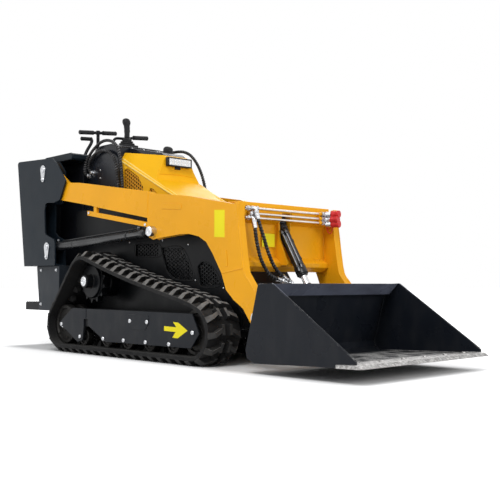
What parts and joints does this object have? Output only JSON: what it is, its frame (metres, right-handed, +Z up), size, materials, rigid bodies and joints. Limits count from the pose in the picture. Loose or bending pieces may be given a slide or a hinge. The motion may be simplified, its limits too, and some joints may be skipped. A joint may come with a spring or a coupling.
{
  "type": "compact tracked skid steer loader",
  "caption": "Compact stand-on tracked skid steer loader with two lift arms, hydraulic cylinders and a wide front bucket",
  "frame": {"origin": "on the ground, at the middle of the whole machine's outline seen from above", "axes": "+X forward, towards the bucket; +Y the operator's left; +Z up"},
  "size_m": [3.05, 0.944, 1.4805],
  "materials": {
    "orange_paint": "semi-gloss powder coat",
    "slate_paint": "satin powder coat",
    "chassis_black": "satin black paint",
    "bucket_paint": "satin dark paint, scuffed inside",
    "worn_steel": "scraped bare steel",
    "plated_steel": "zinc plated",
    "engine_iron": "painted casting",
    "chrome_rod": "polished",
    "track_rubber": "matt, dusty",
    "hose_rubber": "matt with a spiral guard",
    "black_plastic": "moulded",
    "lamp_glass": "clear lens in a black housing",
    "pad_vinyl": "vinyl over foam",
    "red_cap": "dust caps"
  },
  "bodies": {
    "root": {"belly_pan": "chassis_black", "front_cover": "chassis_black", "deck_plate": "chassis_black", "engine_block": "engine_iron", "rear_box": "slate_paint", "operator_platform": "chassis_black", "console_body": "chassis_black", "console_deck": "slate_paint", "thigh_pad": "pad_vinyl", "console_cowl": "chassis_black", "hood": "orange_paint", "top_panel": "chassis_black", "filler_cap": "black_plastic", "headlight": "lamp_glass", "joystick": "black_plastic", "travel_handle": "black_plastic", "rest_bar": "black_plastic", "grab_bar": "black_plastic", "cowl_hoses_right": "hose_rubber", "cowl_hose_left": "hose_rubber", "track_belt_left": "track_rubber", "track_belt_right": "track_rubber", "front_idler_left": "chassis_black", "front_idler_right": "chassis_black", "rear_idler_left": "chassis_black", "rear_idler_right": "chassis_black", "track_frame_left": "chassis_black", "track_frame_right": "chassis_black", "track_cover_left": "slate_paint", "track_cover_right": "slate_paint", "rear_cover_left": "slate_paint", "rear_cover_right": "slate_paint", "sprocket_left": "chassis_black", "sprocket_right": "chassis_black", "side_panel_left": "chassis_black", "side_panel_right": "chassis_black", "side_screen_left": "chassis_black", "side_screen_right": "chassis_black", "rear_tower_left": "slate_paint", "rear_tower_right": "slate_paint", "hood_screen_left": "chassis_black", "hood_screen_right": "chassis_black"},
    "arms": {"lift_arm_left": "orange_paint", "lift_arm_right": "orange_paint", "arm_lock_left": "orange_paint", "arm_lock_right": "orange_paint", "crossmember": "orange_paint", "cross_pipes": "plated_steel", "quick_couplers": "red_cap", "tilt_hose_front": "hose_rubber", "tilt_hose_rear": "hose_rubber"},
    "lift_barrel_left": {"lift_barrel_left": "chassis_black"},
    "lift_barrel_right": {"lift_barrel_right": "chassis_black"},
    "lift_rod_left": {"lift_rod_left": "chrome_rod"},
    "lift_rod_right": {"lift_rod_right": "chrome_rod"},
    "tilt_barrel": {"tilt_barrel": "chassis_black"},
    "tilt_rod": {"tilt_rod": "chrome_rod"},
    "bucket": {"attach_plate": "slate_paint", "bucket_shell": "bucket_paint", "cutting_edge": "worn_steel"}
  },
  "joints": [
    {"name": "arm_lift", "type": "hinge", "parent": "root", "child": "arms", "pos_m": [-1.1747, 0, 1.149], "axis": [0, -1, 0], "range_deg": [0, 55]},
    {"name": "lift_barrel_left_swing", "type": "hinge", "parent": "root", "child": "lift_barrel_left", "pos_m": [-1.1175, 0, 0.6465], "axis": [0, -1, 0], "range_deg": [0, 49.5]},
    {"name": "lift_rod_left_slide", "type": "slide", "parent": "lift_barrel_left", "child": "lift_rod_left", "axis": [0.999, 0, 0.0445], "range_m": [0, 0.45]},
    {"name": "lift_barrel_right_swing", "type": "hinge", "parent": "root", "child": "lift_barrel_right", "pos_m": [-1.1175, 0, 0.6465], "axis": [0, -1, 0], "range_deg": [0, 49.5]},
    {"name": "lift_rod_right_slide", "type": "slide", "parent": "lift_barrel_right", "child": "lift_rod_right", "axis": [0.999, 0, 0.0445], "range_m": [0, 0.45]},
    {"name": "bucket_tilt", "type": "hinge", "parent": "arms", "child": "bucket", "pos_m": [0.8, 0, 0.25], "axis": [0, 1, 0], "range_deg": [-20, 90]},
    {"name": "tilt_barrel_swing", "type": "hinge", "parent": "arms", "child": "tilt_barrel", "pos_m": [0.5845, 0, 0.738], "axis": [0, -1, 0], "range_deg": [-1.5, 5.8]},
    {"name": "tilt_rod_slide", "type": "slide", "parent": "tilt_barrel", "child": "tilt_rod", "axis": [0.5208, 0, -0.8537], "range_m": [-0.037, 0.165]}
  ],
  "couplings": [
    {"joint": "lift_barrel_left_swing", "follows": "arm_lift", "ratio": 0.8745},
    {"joint": "lift_barrel_right_swing", "follows": "arm_lift", "ratio": 0.8745},
    {"joint": "lift_rod_left_slide", "follows": "arm_lift", "m_per_rad": 0.4577},
    {"joint": "lift_rod_right_slide", "follows": "arm_lift", "m_per_rad": 0.4577},
    {"joint": "tilt_barrel_swing", "follows": "bucket_tilt", "ratio": 0.06},
    {"joint": "tilt_rod_slide", "follows": "bucket_tilt", "m_per_rad": 0.1031}
  ]
}
